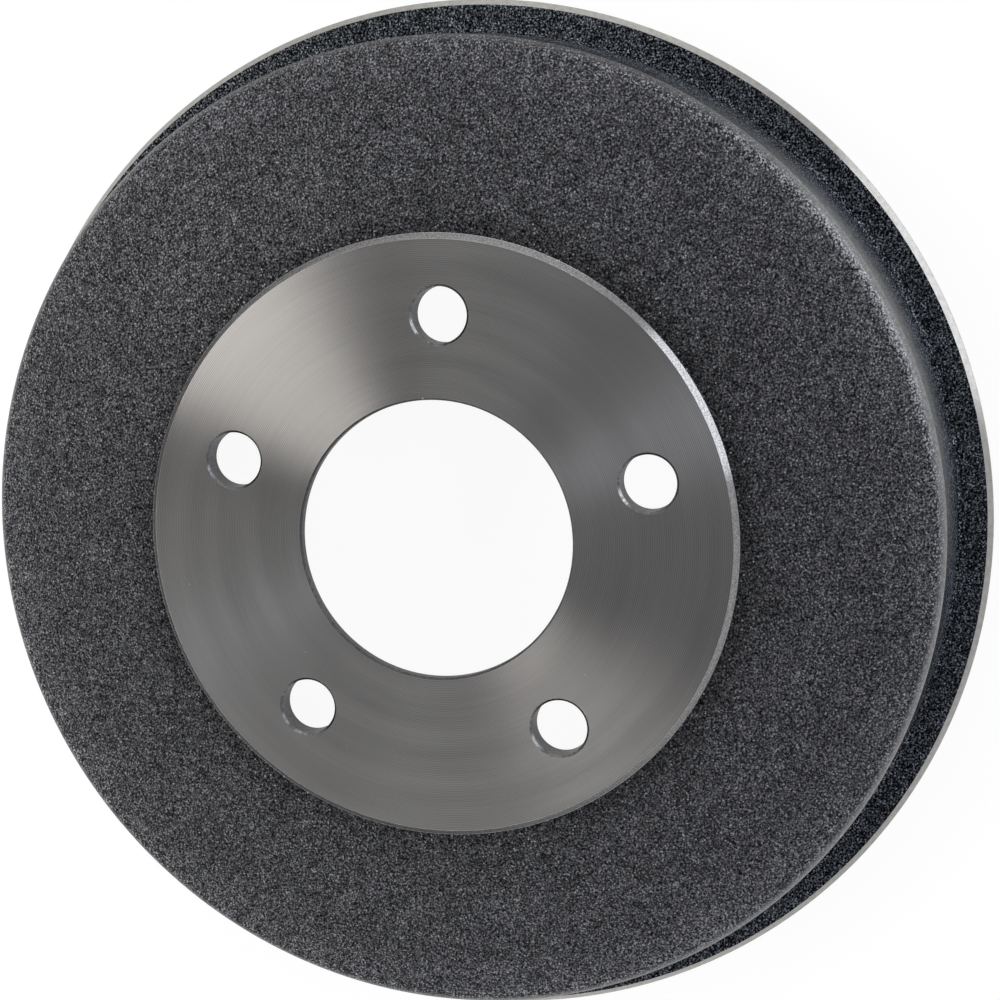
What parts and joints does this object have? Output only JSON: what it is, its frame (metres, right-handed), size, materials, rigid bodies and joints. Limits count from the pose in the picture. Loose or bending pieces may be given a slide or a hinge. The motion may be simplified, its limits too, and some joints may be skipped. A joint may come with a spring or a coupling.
{
  "type": "brake drum",
  "caption": "Cast iron brake drum with a turned wheel pad, pilot bore, stud holes, dished web, barrel with turned friction face, flange and mouth lip.",
  "frame": {"origin": "centre of the mouth rim, on the drum's axis, on the plane that the drum stands on", "axes": "+Z along the drum's axis from the open mouth to the wheel pad, +X through one stud hole"},
  "size_m": [0.275, 0.275, 0.056],
  "materials": {
    "grey_iron": "charcoal coated sandy casting with bare turned pad, flange edge, friction face and hub seat"
  },
  "bodies": {
    "root": {"brake_drum": "grey_iron"}
  },
  "joints": []
}
